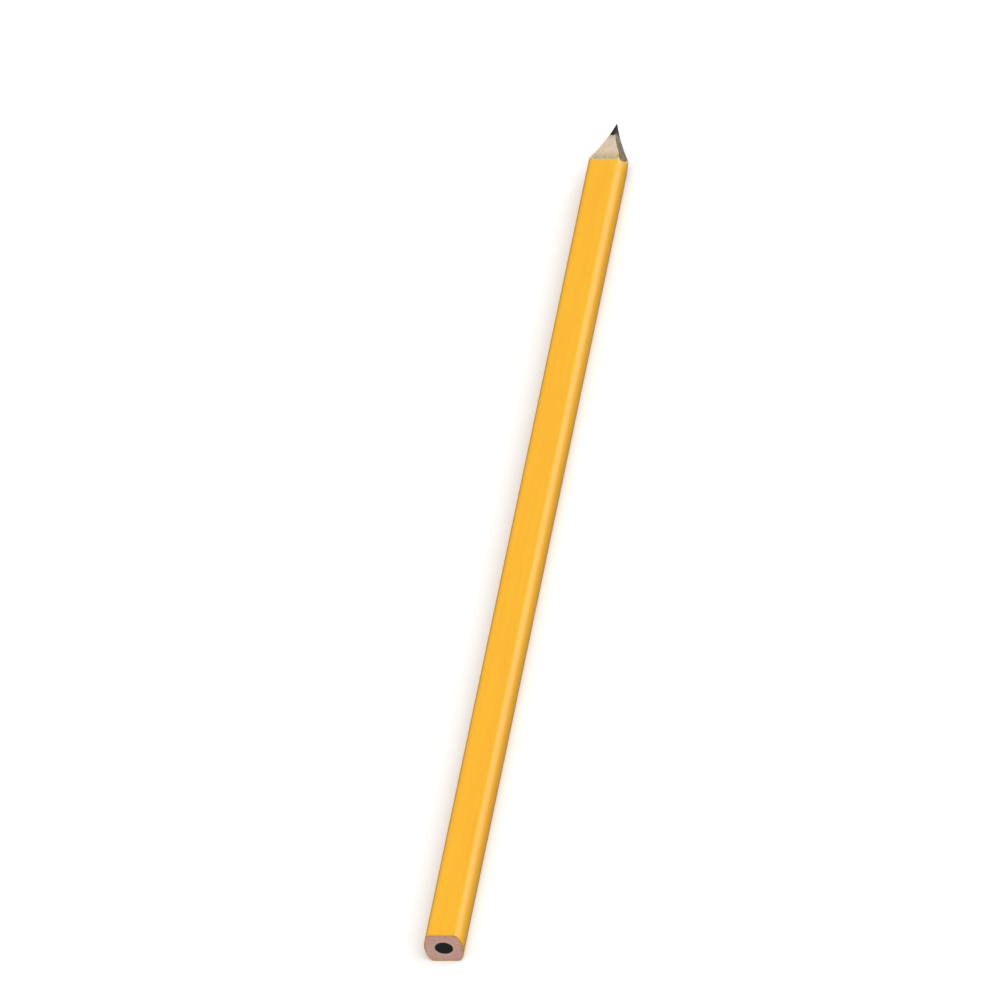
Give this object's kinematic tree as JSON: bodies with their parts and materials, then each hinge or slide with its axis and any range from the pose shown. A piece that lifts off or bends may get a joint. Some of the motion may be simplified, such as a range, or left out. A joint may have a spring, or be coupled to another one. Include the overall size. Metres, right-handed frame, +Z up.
{
  "type": "carpenter pencil",
  "caption": "Long wood-cased carpenter pencil with two broad flats, rounded narrow sides, a yellow lacquer, an oval graphite core and a knife-cut point.",
  "frame": {"origin": "centre of the bottom broad flat, where the pencil rests, half way along its whole length", "axes": "+X along the pencil from the butt to the point, +Y across its width, +Z up through its thickness"},
  "size_m": [0.3, 0.0102, 0.0092],
  "materials": {
    "graphite": "fired graphite and clay, soft dark sheen",
    "casing_wood": "bare knife-cut and sawn softwood with fine straight grain",
    "wood_glue": "thin dried amber glue",
    "primer": "matt filler coat",
    "yellow_lacquer": "glossy warm yellow lacquer"
  },
  "bodies": {
    "root": {"graphite_core": "graphite", "upper_slat": "casing_wood", "lower_slat": "casing_wood", "glue_line_left": "wood_glue", "glue_line_right": "wood_glue", "core_bond": "wood_glue", "primer_coat": "primer", "colour_lacquer": "yellow_lacquer"}
  },
  "joints": []
}
